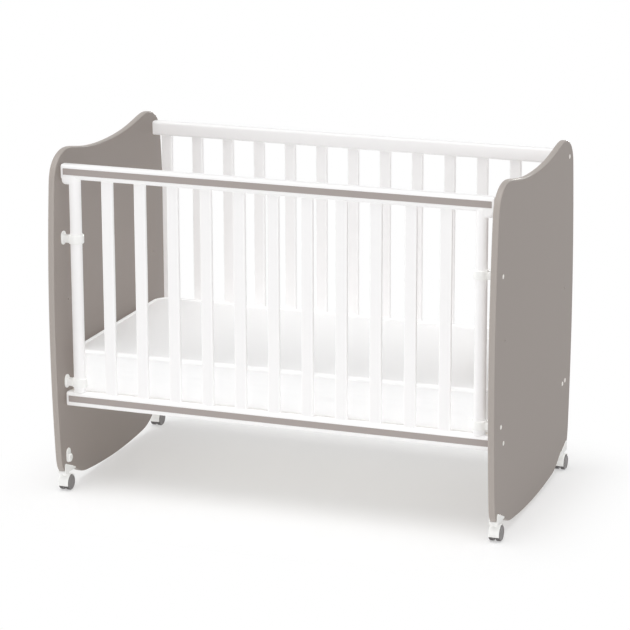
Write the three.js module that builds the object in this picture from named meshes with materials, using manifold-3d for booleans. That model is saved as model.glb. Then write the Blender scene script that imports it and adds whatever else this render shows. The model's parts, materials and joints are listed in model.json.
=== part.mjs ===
// Rocking crib for a 1200 x 600 mm mattress, in millimetres, +Z up.
// The origin lies on the floor under the middle of the crib. +X runs along the length, and the drop side faces -Y.
import * as THREE from "three";
import { mergeVertices } from "three/addons/utils/BufferGeometryUtils.js";
import Module from "manifold-3d";

const wasm = await Module();
wasm.setup();

// Driving dimensions: the mattress, and what the frame leaves round it
const mattressLength = 1200;
const mattressDepth = 600;
const mattressHeight = 121;
const mattressCrown = 5;
const mattressEndGap = 10;
const mattressSideGap = 8.5;
const mattressCorner = 46;
const mattressPiping = 4;
const mattressWaist = 5;
const mattressSag = 4;
const mattressBandShares = [1 / 3, 1 / 2, 2 / 3];
const mattressCrownShares = [0.93, 0.8, 0.55, 0.25];
const mattressCrownPower = 0.7;

// Driving dimensions: the side panels
const panelThickness = 18;
const panelOverhang = 79.5;
const panelAboveRail = 33.5;
const panelDip = 28;
const panelShoulderDrop = 76.5;
const panelEdgeRadius = 4.5;
const rockerRadius = 1900;
const rockerClearance = 10.5;
const footCornerInset = 46;
const footWidth = 48;
const footRampLength = 94;
const footCornerRise = 68;

// Driving dimensions: rails, slats and poles
const railHeight = 40;
const railDepth = 28;
const railEdgeRadius = 7;
const railEndRadius = 2;
const topRailTop = 922;
const lowRailBottom = 247;
const dropSideEndGap = 5;
const inlayWidth = 18;
const inlayThickness = 3;
const inlayRise = 2;
const inlayEndMargin = 6;
const slatWidth = 33;
const slatThickness = 13;
const slatEdgeRadius = 4;
const mortiseDepth = 15;
const poleDiameter = 32;
const poleShoulder = 6;
const poleInset = 40;
const poleHeadDrop = 15;
const poleHeadRadius = 12;
const poleHeadEdge = 2.5;
const bayCount = 12;

// Driving dimensions: the mattress base
const deckTop = 282;
const deckThickness = 6;
const deckSideGap = 3;
const deckEndGap = 2;
const battenWidth = 18;
const battenHeight = 30;
const ventDiameter = 40;
const ventRows = 2;
const ventColumns = 6;
const raisedBoltHeight = 538;
const boltHoleDiameter = 7;

// Driving dimensions: pole collars and drop stops on the panels
const dropTravel = 135;
const liftTravel = 12;
const stopClearance = 2;
const collarRingHeight = 26;
const collarWall = 4.5;
const collarEdge = 1.2;
const collarNeckWidth = 20;
const collarNeckHeight = 21;
const flangeWidth = 27;
const flangeHeight = 38;
const flangeThickness = 4;
const flangeEdge = 1.2;
const stopBossDiameter = 24;
const stopBossLength = 8;
const stopFlangeHeight = 43;
const stopFlangeRise = 8;
const stopBossEdge = 2.5;

// Driving dimensions: castors and the saddles that carry them
const wheelDiameter = 43;
const wheelWidth = 14;
const wheelEdge = 2.5;
const wheelDish = 1.6;
const wheelRim = 3.5;
const wheelSkin = 3;
const hubDiameter = 17;
const axleDiameter = 6;
const webThickness = 4;
const hoodClearance = 1.5;
const hoodWall = 2;
const hoodEdge = 1;
const hoodRearAngle = THREE.MathUtils.degToRad(20);
const hoodFrontAngle = THREE.MathUtils.degToRad(194);
const castorTrail = 6;
const stemInset = 62;
const stemDiameter = 8;
const stemLength = 26;
const neckDiameter = 16;
const sleeveDiameter = 12;
const sleeveLength = 26;
const saddlePlate = 8;
const saddleCheek = 2.5;
const saddleRise = 21;
const saddleReach = 24;
const saddleToeReach = 9;
const saddleToeHeight = 4;
const saddleCornerShare = 0.16;
const bossDiameter = 20;
const bossHeight = 2;
const castorHeadroom = 3.5;

// Clearances shared by the whole crib
const gluedGap = 0.3;
const faceGap = 0.3;
const slidingGap = 0.5;
const turningGap = 0.4;
const overrun = 5;

// Where the middle point of a rounded edge drawn with two facets lies
const roundingShare = 1 / 3;

// Facet counts
const roundFacets = 20;
const smallFacets = 16;
const boreFacets = 12;
const wheelFacets = 20;
const curveFacets = 8;
const arcFacets = 2;
const ovalFacets = 4;
const edgeFacets = 2;
const cornerSteps = 5;
const longSteps = 12;
const shortSteps = 6;

// Sizes and places that follow from the driving dimensions
const insideLength = mattressLength + 2 * mattressEndGap;
const panelInner = insideLength / 2;
const panelCentre = panelInner + panelThickness / 2;
const lineOffset = mattressDepth / 2 + mattressSideGap + slatThickness / 2;
const wheelRadius = wheelDiameter / 2;
const hoodInner = wheelRadius + hoodClearance;
const hoodOuter = hoodInner + hoodWall;
const hoodHalfWidth = webThickness / 2 + faceGap + wheelWidth;
const bossBottom = wheelRadius + hoodOuter + castorHeadroom;
const saddleBottom = bossBottom + bossHeight;
const footHeight = saddleBottom + saddlePlate;
const panelHalf = mattressDepth / 2 + panelOverhang;
const panelTop = topRailTop + panelAboveRail;
const footOuter = panelHalf - footCornerInset;
const footInner = footOuter - footWidth;
const rockerHalfChord = footInner - footRampLength;
const stemOffset = panelHalf - stemInset;
const topRailBottom = topRailTop - railHeight;
const lowRailTop = lowRailBottom + railHeight;
const poleX = panelInner - poleInset;
const collarHeights = {
  upper: topRailBottom - poleHeadDrop - dropTravel - stopClearance - collarRingHeight / 2,
  lower: lowRailTop + liftTravel + stopClearance + collarRingHeight / 2,
};
const stopBossHeight = lowRailBottom - dropTravel - stopClearance - stopBossDiameter / 2;
const slatPitch = (2 * poleX) / bayCount;
const tenon = mortiseDepth - gluedGap;
const mattressBottom = deckTop + faceGap;

// Finishes
const finish = {
  whiteWood: { color: 0xf4f4f2, roughness: 0.4, metalness: 0 },
  taupeBoard: { color: 0x9b928c, roughness: 0.55, metalness: 0 },
  taupeInlay: { color: 0xaca5a0, roughness: 0.45, metalness: 0 },
  whitePlastic: { color: 0xeeeeec, roughness: 0.45, metalness: 0 },
  greyTyre: { color: 0x838181, roughness: 0.6, metalness: 0 },
  baseBoard: { color: 0xe6e2da, roughness: 0.7, metalness: 0 },
  cover: { color: 0xf7f7f7, roughness: 0.85, metalness: 0 },
};

// A closed geometry as a manifold solid, for cutting and joining
function solid(geometry) {
  const bare = geometry.clone();
  bare.deleteAttribute("normal");
  bare.deleteAttribute("uv");
  const merged = mergeVertices(bare);
  return new wasm.Manifold(
    new wasm.Mesh({
      numProp: 3,
      vertProperties: new Float32Array(merged.attributes.position.array),
      triVerts: new Uint32Array(merged.index.array),
    }),
  );
}

// A manifold solid back as a geometry
function geometryOf(made) {
  const mesh = made.getMesh();
  const geometry = new THREE.BufferGeometry();
  geometry.setAttribute("position", new THREE.BufferAttribute(mesh.vertProperties, 3));
  geometry.setIndex(new THREE.BufferAttribute(mesh.triVerts, 1));
  return geometry;
}

// The body geometry with the added geometries joined on and the cut geometries taken away
function carve(body, added, cuts) {
  let made = solid(body);
  for (const more of added) made = made.add(solid(more));
  for (const cut of cuts) made = made.subtract(solid(cut));
  return geometryOf(made);
}

// A box between two corners
function block(low, high) {
  const size = high.map((value, axis) => value - low[axis]);
  const box = new THREE.BoxGeometry(...size);
  return box.translate(...low.map((value, axis) => value + size[axis] / 2));
}

// A cylinder of the given radius between two points along X, Y or Z
function rod(axis, radius, from, to, centre, facets) {
  const length = to - from;
  const cylinder = new THREE.CylinderGeometry(radius, radius, length, facets);
  cylinder.translate(0, from + length / 2, 0);
  if (axis === "z") cylinder.rotateX(Math.PI / 2);
  if (axis === "x") cylinder.rotateZ(-Math.PI / 2);
  return cylinder.translate(...centre);
}

// A rectangle with rounded corners, centred on the origin
function roundedRectangle(width, height, radius) {
  const [x, y] = [width / 2, height / 2];
  const shape = new THREE.Shape();
  shape.moveTo(x, radius - y);
  shape.absarc(x - radius, y - radius, radius, 0, Math.PI / 2);
  shape.absarc(radius - x, y - radius, radius, Math.PI / 2, Math.PI);
  shape.absarc(radius - x, radius - y, radius, Math.PI, 1.5 * Math.PI);
  shape.absarc(x - radius, radius - y, radius, 1.5 * Math.PI, 2 * Math.PI);
  return shape;
}

// A shape in Y and Z extruded along X between two places, with softened end edges
function extrudeX(shape, from, to, edge, facets, edgeSteps = 1) {
  const geometry = new THREE.ExtrudeGeometry(shape, {
    depth: to - from - 2 * edge,
    curveSegments: facets,
    bevelEnabled: edge > 0,
    bevelThickness: edge,
    bevelSize: edge,
    bevelOffset: -edge,
    bevelSegments: edgeSteps,
  });
  geometry.rotateX(Math.PI / 2).rotateZ(Math.PI / 2);
  return geometry.translate(from + edge, 0, 0);
}

const crib = new THREE.Group();

// One named piece of the crib at a place
function place(parent, name, geometry, look, x = 0, y = 0, z = 0) {
  const mesh = new THREE.Mesh(geometry, new THREE.MeshStandardMaterial(finish[look]));
  mesh.name = name;
  mesh.position.set(x, y, z);
  parent.add(mesh);
  return mesh;
}

// Side panels

// Control points of one half of the outline, as shares of the half depth and of the height each stretch spans
const topEdgeShares = [
  [0.43, 0],
  [0.565, 1],
  [0.7, 1],
];
const shoulderShares = [
  [0.81, 0],
  [0.934, 0.28],
  [0.947, 1],
];
const flankShares = [
  [1.0155, 0.333],
  [1.0155, 0.667],
  [0.958, 1],
];
const footCornerShares = [
  [0.951, 0.44],
  [0.942, 1],
];
const rampShares = [
  [0.234, 0.39],
  [0.521, 0.903],
];

// The panel's outline in Y and Z: bowed flanks, two shoulders with a dip between, two feet and the rocker arc
function panelOutline() {
  const half = panelHalf;
  const dipHeight = panelTop - panelDip;
  const flankTop = panelTop - panelShoulderDrop;
  const flankBottom = footHeight + footCornerRise;
  const rockerEnd = rockerClearance + rockerHalfChord ** 2 / (2 * rockerRadius);
  const topEdge = topEdgeShares.map(([y, z]) => [y * half, dipHeight + z * panelDip]);
  const shoulder = shoulderShares.map(([y, z]) => [y * half, panelTop - z * panelShoulderDrop]);
  const flank = flankShares.map(([y, z]) => [y * half, flankTop - z * (flankTop - flankBottom)]);
  const corner = footCornerShares.map(([y, z]) => [y * half, flankBottom - z * footCornerRise]);
  corner.push([footOuter, footHeight]);
  const ramp = rampShares.map(([y, z]) => [
    footInner - y * (footInner - rockerHalfChord),
    footHeight - z * (footHeight - rockerEnd),
  ]);
  ramp.push([rockerHalfChord, rockerEnd]);
  const forward = [topEdge, shoulder, flank, corner];
  const shape = new THREE.Shape();
  shape.moveTo(0, dipHeight);
  for (const curve of forward) shape.bezierCurveTo(...curve.flatMap(([y, z]) => [-y, z]));
  shape.lineTo(-footInner, footHeight);
  shape.bezierCurveTo(...ramp.flatMap(([y, z]) => [-y, z]));
  const sweep = Math.asin(rockerHalfChord / rockerRadius);
  const centre = rockerEnd + rockerRadius * Math.cos(sweep);
  shape.absarc(0, centre, rockerRadius, 1.5 * Math.PI - sweep, 1.5 * Math.PI + sweep);
  shape.bezierCurveTo(...ramp.slice(0, 2).reverse().flat(), footInner, footHeight);
  shape.lineTo(footOuter, footHeight);
  const starts = [[0, dipHeight], topEdge[2], shoulder[2], flank[2]];
  for (let i = forward.length - 1; i >= 0; i -= 1) {
    const [first, second] = forward[i];
    shape.bezierCurveTo(...second, ...first, ...starts[i]);
  }
  return shape;
}

const deckHalfDepth = lineOffset - railDepth / 2 - deckSideGap;
const battenOffset = deckHalfDepth - battenWidth / 2;
const battenPlaces = { front: -battenOffset, back: battenOffset };
const battenTop = deckTop - deckThickness;
const baseBoltHeight = battenTop - battenHeight / 2;

// The panel with the bolt holes of both base heights and the holes that take the castor saddles' sleeves
function panelGeometry() {
  const half = panelThickness / 2;
  const board = extrudeX(panelOutline(), -half, half, panelEdgeRadius, curveFacets, edgeFacets);
  const cuts = [];
  const through = half + overrun;
  for (const y of Object.values(battenPlaces)) {
    for (const z of [baseBoltHeight, raisedBoltHeight]) {
      cuts.push(rod("x", boltHoleDiameter / 2, -through, through, [0, y, z], boreFacets));
    }
  }
  for (const y of [-stemOffset, stemOffset]) {
    const mouth = footHeight - overrun;
    const end = footHeight + sleeveLength + gluedGap;
    cuts.push(rod("z", sleeveDiameter / 2 + gluedGap, mouth, end, [0, y, 0], smallFacets));
  }
  return carve(board, [], cuts);
}

const panel = panelGeometry();
place(crib, "side_panel_left", panel, "taupeBoard", -panelCentre);
place(crib, "side_panel_right", panel, "taupeBoard", panelCentre);

// Rails with their mortises

// A rail centred on its own axis, with a mortise for each slat on the side that faces the other rail
function railGeometry(length, slatPlaces, polePlaces, side, inlaid) {
  const section = roundedRectangle(railDepth, railHeight, railEdgeRadius);
  const bar = extrudeX(section, -length / 2, length / 2, railEndRadius, arcFacets);
  const floor = side * (railHeight / 2 - mortiseDepth);
  const mouth = side * (railHeight / 2 + overrun);
  const [low, high] = [Math.min(floor, mouth), Math.max(floor, mouth)];
  const mortiseX = slatWidth / 2 + gluedGap;
  const mortiseY = slatThickness / 2 + gluedGap;
  const cuts = slatPlaces.map((x) => block([x - mortiseX, -mortiseY, low], [x + mortiseX, mortiseY, high]));
  for (const x of polePlaces) {
    cuts.push(rod("z", poleDiameter / 2 - poleShoulder + gluedGap, low, high, [x, 0, 0], roundFacets));
  }
  if (inlaid) {
    const end = length / 2 - inlayEndMargin;
    const [bottom, top] = [inlayRise - inlayWidth / 2, inlayRise + inlayWidth / 2];
    const front = -railDepth / 2;
    cuts.push(block([-end, front - overrun, bottom], [end, front + inlayThickness, top]));
  }
  return carve(bar, [], cuts);
}

const slatPlaces = Array.from({ length: bayCount - 1 }, (unused, i) => (i + 1) * slatPitch - poleX);
const backSlatPlaces = Array.from({ length: bayCount + 1 }, (unused, i) => i * slatPitch - poleX);
const railCentres = { top: topRailTop - railHeight / 2, bottom: lowRailBottom + railHeight / 2 };
const mortiseSides = { top: -1, bottom: 1 };

for (const level of ["top", "bottom"]) {
  const rail = railGeometry(insideLength, backSlatPlaces, [], mortiseSides[level], false);
  place(crib, `back_${level}_rail`, rail, "whiteWood", 0, lineOffset, railCentres[level]);
}

// Slats

const slatFoot = lowRailTop - tenon;
const slatHead = topRailBottom + tenon;

// One upright slat, standing on its foot
function slatGeometry() {
  const section = roundedRectangle(slatWidth, slatThickness, slatEdgeRadius);
  return new THREE.ExtrudeGeometry(section, {
    depth: slatHead - slatFoot,
    bevelEnabled: false,
    curveSegments: arcFacets / 2,
  });
}

const slat = slatGeometry();
backSlatPlaces.forEach((x, i) => {
  const number = String(i + 1).padStart(2, "0");
  place(crib, `back_slat_${number}`, slat, "whiteWood", x, lineOffset, slatFoot);
});

// Drop side

const dropSide = new THREE.Group();
dropSide.position.y = -lineOffset;
crib.add(dropSide);
const dropRailLength = insideLength - 2 * dropSideEndGap;

for (const level of ["top", "bottom"]) {
  const rail = railGeometry(dropRailLength, slatPlaces, [-poleX, poleX], mortiseSides[level], true);
  place(dropSide, `front_${level}_rail`, rail, "whiteWood", 0, 0, railCentres[level]);
  const strip = new THREE.BoxGeometry(
    dropRailLength - 2 * (inlayEndMargin + gluedGap),
    inlayThickness - gluedGap,
    inlayWidth - 2 * gluedGap,
  );
  const stripY = (inlayThickness - gluedGap) / 2 - railDepth / 2;
  place(dropSide, `${level}_rail_inlay`, strip, "taupeInlay", 0, stripY, railCentres[level] + inlayRise);
}

slatPlaces.forEach((x, i) => {
  const number = String(i + 1).padStart(2, "0");
  place(dropSide, `front_slat_${number}`, slat, "whiteWood", x, 0, slatFoot);
});

// A pole on its own axis, with turned-down ends and the rounded head that fills the corner under the top rail
function poleGeometry(outward) {
  const radius = poleDiameter / 2;
  const endRadius = radius - poleShoulder;
  const shaft = rod("z", radius, lowRailTop, topRailBottom, [0, 0, 0], roundFacets);
  const spigot = rod("z", endRadius, slatFoot, slatHead, [0, 0, 0], roundFacets);
  const reach = poleInset - dropSideEndGap;
  const head = new THREE.Shape();
  head.moveTo(0, 0);
  head.lineTo(-reach, 0);
  head.absarc(poleHeadRadius - reach, poleHeadRadius - poleHeadDrop, poleHeadRadius, Math.PI, 1.5 * Math.PI);
  head.lineTo(0, -poleHeadDrop);
  const cap = new THREE.ExtrudeGeometry(head, {
    depth: railDepth - 2 * poleHeadEdge,
    curveSegments: arcFacets,
    bevelThickness: poleHeadEdge,
    bevelSize: poleHeadEdge,
    bevelOffset: -poleHeadEdge,
    bevelSegments: edgeFacets,
  });
  cap.rotateX(Math.PI / 2);
  cap.translate(0, railDepth / 2 - poleHeadEdge, topRailBottom);
  if (outward > 0) cap.rotateZ(Math.PI);
  return carve(shaft, [spigot, cap], []);
}

place(dropSide, "pole_left", poleGeometry(-1), "whiteWood", -poleX);
place(dropSide, "pole_right", poleGeometry(1), "whiteWood", poleX);

// Collars that guide the poles, and stops that end the drop

// An upright oval plate in Y and Z
function ovalShape(width, height) {
  return roundedRectangle(width, height, width / 2);
}

// A collar round the pole axis, with its neck and flange towards -X
function collarGeometry() {
  const bore = poleDiameter / 2 + slidingGap;
  const outer = bore + collarWall;
  const [rim, half] = [collarEdge, collarRingHeight / 2];
  const profile = [
    [bore, -half],
    [outer - rim, -half],
    [outer, rim - half],
    [outer, half - rim],
    [outer - rim, half],
    [bore, half],
    [bore, -half],
  ].map(([r, z]) => new THREE.Vector2(r, z));
  const ring = new THREE.LatheGeometry(profile, roundFacets);
  ring.rotateX(Math.PI / 2);
  const neckStart = bore + collarWall / 2;
  const wall = poleInset - flangeThickness + collarEdge;
  const neck = block(
    [-wall, -collarNeckWidth / 2, -collarNeckHeight / 2],
    [-neckStart, collarNeckWidth / 2, collarNeckHeight / 2],
  );
  const oval = ovalShape(flangeWidth, flangeHeight);
  const flange = extrudeX(oval, -poleInset, flangeThickness - poleInset, flangeEdge, ovalFacets);
  return carve(ring, [neck, flange], []);
}

// A stop on its boss axis, with its flange flat on the panel at -X
function stopGeometry() {
  const shape = ovalShape(flangeWidth, stopFlangeHeight);
  const flange = extrudeX(shape, 0, flangeThickness, flangeEdge, ovalFacets);
  flange.translate(0, 0, stopFlangeRise);
  const [radius, end] = [stopBossDiameter / 2, flangeThickness + stopBossLength];
  const profile = [
    [0, flangeThickness / 2],
    [radius, flangeThickness / 2],
    [radius, end - stopBossEdge],
    [radius - roundingShare * stopBossEdge, end - roundingShare * stopBossEdge],
    [radius - stopBossEdge, end],
    [0, end],
  ].map(([r, x]) => new THREE.Vector2(r, x));
  const boss = new THREE.LatheGeometry(profile, roundFacets);
  boss.rotateZ(-Math.PI / 2);
  return carve(flange, [boss], []);
}

const collar = collarGeometry();
const stop = stopGeometry();
for (const [hand, sign] of [
  ["left", -1],
  ["right", 1],
]) {
  const turn = sign > 0 ? Math.PI : 0;
  for (const [level, height] of Object.entries(collarHeights)) {
    const piece = place(crib, `${level}_collar_${hand}`, collar, "whitePlastic", sign * poleX, -lineOffset, height);
    piece.rotation.z = turn;
  }
  const piece = place(crib, `drop_stop_${hand}`, stop, "whitePlastic", sign * panelInner, -lineOffset, stopBossHeight);
  piece.rotation.z = turn;
}

// Mattress base

// The deck: a thin board with rows of ventilation holes
function deckGeometry() {
  const [halfLength, front, back] = [panelInner - deckEndGap, -deckHalfDepth, deckHalfDepth];
  const shape = new THREE.Shape();
  shape.moveTo(-halfLength, front);
  shape.lineTo(halfLength, front);
  shape.lineTo(halfLength, back);
  shape.lineTo(-halfLength, back);
  for (let row = 0; row < ventRows; row += 1) {
    for (let column = 0; column < ventColumns; column += 1) {
      const x = ((2 * column + 1) / ventColumns - 1) * halfLength;
      const y = front + ((2 * row + 1) / (2 * ventRows)) * (back - front);
      const vent = new THREE.Path();
      vent.absarc(x, y, ventDiameter / 2, 0, 2 * Math.PI, true);
      shape.holes.push(vent);
    }
  }
  return new THREE.ExtrudeGeometry(shape, {
    depth: deckThickness,
    bevelEnabled: false,
    curveSegments: curveFacets,
  });
}

place(crib, "mattress_deck", deckGeometry(), "baseBoard", 0, 0, battenTop);
for (const [side, y] of Object.entries(battenPlaces)) {
  const batten = new THREE.BoxGeometry(insideLength, battenWidth, battenHeight);
  place(crib, `${side}_base_batten`, batten, "whiteWood", 0, y, battenTop - battenHeight / 2);
}

// Mattress

// Points of one ring: a rounded rectangle drawn inwards by an inset, and further between its corners
function mattressRing(inset, draw, height, share) {
  const [x, y] = [mattressLength / 2 - inset, mattressDepth / 2 - inset];
  const radius = Math.max(mattressCorner - inset, mattressPiping);
  const points = [];
  const corners = [
    [1, -1],
    [1, 1],
    [-1, 1],
    [-1, -1],
  ];
  corners.forEach(([sx, sy], quarter) => {
    const centre = [sx * (x - radius), sy * (y - radius)];
    for (let i = 0; i <= cornerSteps; i += 1) {
      const angle = ((quarter - 1 + i / cornerSteps) * Math.PI) / 2;
      points.push([centre[0] + radius * Math.cos(angle), centre[1] + radius * Math.sin(angle)]);
    }
    const steps = quarter % 2 ? longSteps : shortSteps;
    const [nx, ny] = corners[(quarter + 1) % corners.length];
    const end = [nx * (x - radius), ny * (y - radius)];
    const normal = [Math.cos((quarter * Math.PI) / 2), Math.sin((quarter * Math.PI) / 2)];
    for (let i = 1; i < steps; i += 1) {
      const t = i / steps;
      const pull = radius - draw * Math.sin(Math.PI * t);
      points.push([
        centre[0] + (end[0] - centre[0]) * t + normal[0] * pull,
        centre[1] + (end[1] - centre[1]) * t + normal[1] * pull,
      ]);
    }
  });
  return points.map(([px, py]) => new THREE.Vector3(px * share, py * share, height));
}

// A closed skin over a stack of rings, from the bottom ring to the top one
function loft(rings) {
  const count = rings[0].length;
  const positions = rings.flat();
  const centreOf = (ring) => ring.reduce((sum, p) => sum.add(p), new THREE.Vector3()).divideScalar(count);
  positions.push(centreOf(rings[0]), centreOf(rings.at(-1)));
  const [bottom, top] = [positions.length - 2, positions.length - 1];
  const last = (rings.length - 1) * count;
  const index = [];
  for (let i = 0; i < count; i += 1) {
    const next = (i + 1) % count;
    index.push(bottom, next, i, top, last + i, last + next);
    for (let ring = 0; ring < rings.length - 1; ring += 1) {
      const [a, b] = [ring * count + i, ring * count + next];
      index.push(a, b, b + count, a, b + count, a + count);
    }
  }
  const geometry = new THREE.BufferGeometry().setFromPoints(positions);
  geometry.setIndex(index);
  return geometry;
}

// The mattress on its bottom face: soft lower edge, drawn-in sides, a piping bead and a crowned top
function mattressGeometry() {
  const bead = mattressPiping;
  const rim = mattressHeight - 2 * bead;
  const ease = bead * roundingShare;
  const [lowBand, midBand, highBand] = mattressBandShares.map((share) => share * rim);
  const sides = [
    [2 * bead, 0, 0],
    [bead, mattressSag / 2, bead],
    [bead, mattressSag, lowBand],
    [bead + mattressWaist / 2, mattressSag, midBand],
    [bead, mattressSag, highBand],
    [bead, mattressSag / 2, rim - bead],
    [bead, 0, rim],
    [0, 0, rim + ease],
    [0, 0, mattressHeight - ease],
    [bead, 0, mattressHeight],
    [2 * bead, 0, mattressHeight - ease],
  ];
  const rings = sides.map(([inset, draw, height]) => mattressRing(inset, draw, height, 1));
  for (const share of mattressCrownShares) {
    const rise = mattressCrown * (1 - share ** 2) ** mattressCrownPower;
    rings.push(mattressRing(2 * bead, 0, mattressHeight + rise, share));
  }
  return loft(rings);
}

place(crib, "mattress", mattressGeometry(), "cover", 0, 0, mattressBottom);

// Castors

// A saddle that clasps the panel's foot, centred on the stem axis at foot height; +Y points outwards
function saddleGeometry() {
  const inner = footInner - stemOffset;
  const outer = saddleReach;
  const halfWidth = panelThickness / 2 + faceGap + saddleCheek;
  const plate = block([-halfWidth, inner, -saddlePlate], [halfWidth, outer, 0]);
  const profile = new THREE.Shape();
  const corner = saddleCornerShare * (outer - inner);
  profile.moveTo(inner - saddleToeReach, -saddlePlate);
  profile.lineTo(outer, -saddlePlate);
  profile.lineTo(outer, saddleRise - corner / 2);
  profile.lineTo(outer - corner / 2, saddleRise);
  profile.lineTo(inner - saddleToeReach, saddleToeHeight - saddlePlate);
  const cheeks = [-1, 1].map((side) => {
    const [from, to] = side > 0 ? [halfWidth - saddleCheek, halfWidth] : [-halfWidth, saddleCheek - halfWidth];
    return extrudeX(profile, from, to, 0, 1);
  });
  const sleeve = rod("z", sleeveDiameter / 2, -saddlePlate, sleeveLength, [0, 0, 0], roundFacets);
  const boss = rod("z", bossDiameter / 2, -saddlePlate - bossHeight, 0, [0, 0, 0], roundFacets);
  const boreEnd = sleeveLength - saddlePlate;
  const bore = rod("z", stemDiameter / 2 + turningGap, -saddlePlate - bossHeight - overrun, boreEnd, [0, 0, 0], roundFacets);
  return carve(plate, [...cheeks, sleeve, boss], [bore]);
}

// A hood on its stem axis at floor height: mudguard, web, axle, neck and stem; the wheels trail towards +Y
function hoodGeometry() {
  const axle = [0, castorTrail, wheelRadius];
  const pie = new THREE.Shape();
  pie.moveTo(0, 0);
  pie.absarc(0, 0, hoodOuter, hoodRearAngle, hoodFrontAngle);
  const guard = extrudeX(pie, -hoodHalfWidth, hoodHalfWidth, hoodEdge, curveFacets);
  guard.translate(...axle);
  const neckTop = bossBottom - faceGap;
  const neck = rod("z", neckDiameter / 2, wheelRadius, neckTop, [0, 0, 0], roundFacets);
  const cavities = [-1, 1].map((side) => {
    const [near, far] = [webThickness / 2, hoodHalfWidth + overrun].map((value) => value * side);
    return rod("x", hoodInner, Math.min(near, far), Math.max(near, far), axle, wheelFacets);
  });
  const shell = carve(guard, [neck], cavities);
  const hub = rod("x", hubDiameter / 2, -webThickness / 2, webThickness / 2, axle, roundFacets);
  const axleEnd = hoodHalfWidth - wheelSkin - faceGap;
  const pin = rod("x", axleDiameter / 2, -axleEnd, axleEnd, axle, smallFacets);
  const stem = rod("z", stemDiameter / 2, neckTop - overrun, neckTop + stemLength, [0, 0, 0], smallFacets);
  return carve(shell, [hub, pin, stem], []);
}

// A wheel on its axle, with its plain side at the origin and its dished side towards +X
function wheelGeometry() {
  const dish = wheelRadius - wheelRim;
  const profile = [
    [0, wheelWidth - wheelSkin],
    [axleDiameter / 2 + turningGap, wheelWidth - wheelSkin],
    [axleDiameter / 2 + turningGap, 0],
    [wheelRadius - wheelEdge, 0],
    [wheelRadius, wheelEdge],
    [wheelRadius, wheelWidth - wheelEdge],
    [wheelRadius - wheelEdge, wheelWidth],
    [dish, wheelWidth],
    [dish - wheelDish, wheelWidth - wheelDish],
    [0, wheelWidth - wheelDish],
  ].map(([r, x]) => new THREE.Vector2(r, x));
  const wheel = new THREE.LatheGeometry(profile, wheelFacets);
  return wheel.rotateZ(-Math.PI / 2);
}

const saddle = saddleGeometry();
const hood = hoodGeometry();
const wheel = wheelGeometry();
for (const [end, endSign] of [
  ["front", -1],
  ["back", 1],
]) {
  for (const [hand, handSign] of [
    ["left", -1],
    ["right", 1],
  ]) {
    const corner = new THREE.Group();
    corner.position.set(handSign * panelCentre, endSign * stemOffset, 0);
    crib.add(corner);
    const clasp = place(corner, `castor_saddle_${end}_${hand}`, saddle, "whitePlastic", 0, 0, footHeight);
    clasp.rotation.z = endSign < 0 ? Math.PI : 0;
    place(corner, `castor_hood_${end}_${hand}`, hood, "whitePlastic");
    const start = webThickness / 2 + faceGap;
    for (const [side, sign] of [
      ["a", -1],
      ["b", 1],
    ]) {
      const name = `castor_wheel_${end}_${hand}_${side}`;
      const disc = place(corner, name, wheel, "greyTyre", sign * start, castorTrail, wheelRadius);
      disc.rotation.z = sign < 0 ? Math.PI : 0;
    }
  }
}

export default crib;
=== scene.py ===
"""The visual model of a rocking crib with a drop side, in metres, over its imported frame."""

import bpy
import json
import math
import numpy as np
from mathutils import Matrix, Vector
from mathutils.geometry import tessellate_polygon


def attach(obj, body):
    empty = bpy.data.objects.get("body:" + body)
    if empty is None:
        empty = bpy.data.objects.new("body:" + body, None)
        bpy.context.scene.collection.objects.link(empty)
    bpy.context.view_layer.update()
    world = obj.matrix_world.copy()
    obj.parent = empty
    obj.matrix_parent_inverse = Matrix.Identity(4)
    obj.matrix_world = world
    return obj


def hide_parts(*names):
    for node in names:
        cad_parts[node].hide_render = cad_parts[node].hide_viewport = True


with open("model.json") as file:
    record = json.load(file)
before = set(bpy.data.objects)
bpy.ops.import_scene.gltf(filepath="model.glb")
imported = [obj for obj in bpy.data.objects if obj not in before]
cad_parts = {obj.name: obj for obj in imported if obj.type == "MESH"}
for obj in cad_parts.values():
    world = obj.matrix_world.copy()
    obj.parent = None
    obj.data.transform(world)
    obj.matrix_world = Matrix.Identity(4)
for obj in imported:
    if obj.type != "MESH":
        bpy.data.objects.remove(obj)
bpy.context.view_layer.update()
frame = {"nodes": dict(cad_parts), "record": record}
NODES = frame["nodes"]
SCENE = bpy.context.scene

# Camera, solved from the crib's own straight lines in the photograph

CAMERA_PLACE = Vector((2.5698, -6.9639, 2.4830))
CAMERA_YAW = math.radians(20.26)
CAMERA_PITCH = math.radians(15.13)
CAMERA_ROLL = math.radians(-0.13)
FOCAL_PIXELS = 2793.7
PHOTO_PIXELS = 630
SENSOR_WIDTH = 36
FAR_CLIP = 100


def make_camera():
    """A camera at the solved place; the yaw turns it to the left of +Y, and the pitch turns it down."""
    data = bpy.data.cameras.new("camera")
    data.sensor_width = SENSOR_WIDTH
    data.lens = SENSOR_WIDTH * FOCAL_PIXELS / PHOTO_PIXELS
    data.clip_end = FAR_CLIP
    camera = bpy.data.objects.new("camera", data)
    SCENE.collection.objects.link(camera)
    turn = Matrix.Rotation(CAMERA_YAW, 4, "Z") @ Matrix.Rotation(math.pi / 2 - CAMERA_PITCH, 4, "X")
    camera.matrix_world = Matrix.Translation(CAMERA_PLACE) @ turn @ Matrix.Rotation(CAMERA_ROLL, 4, "Z")
    SCENE.camera = camera


make_camera()


# Nodes and colours


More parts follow.
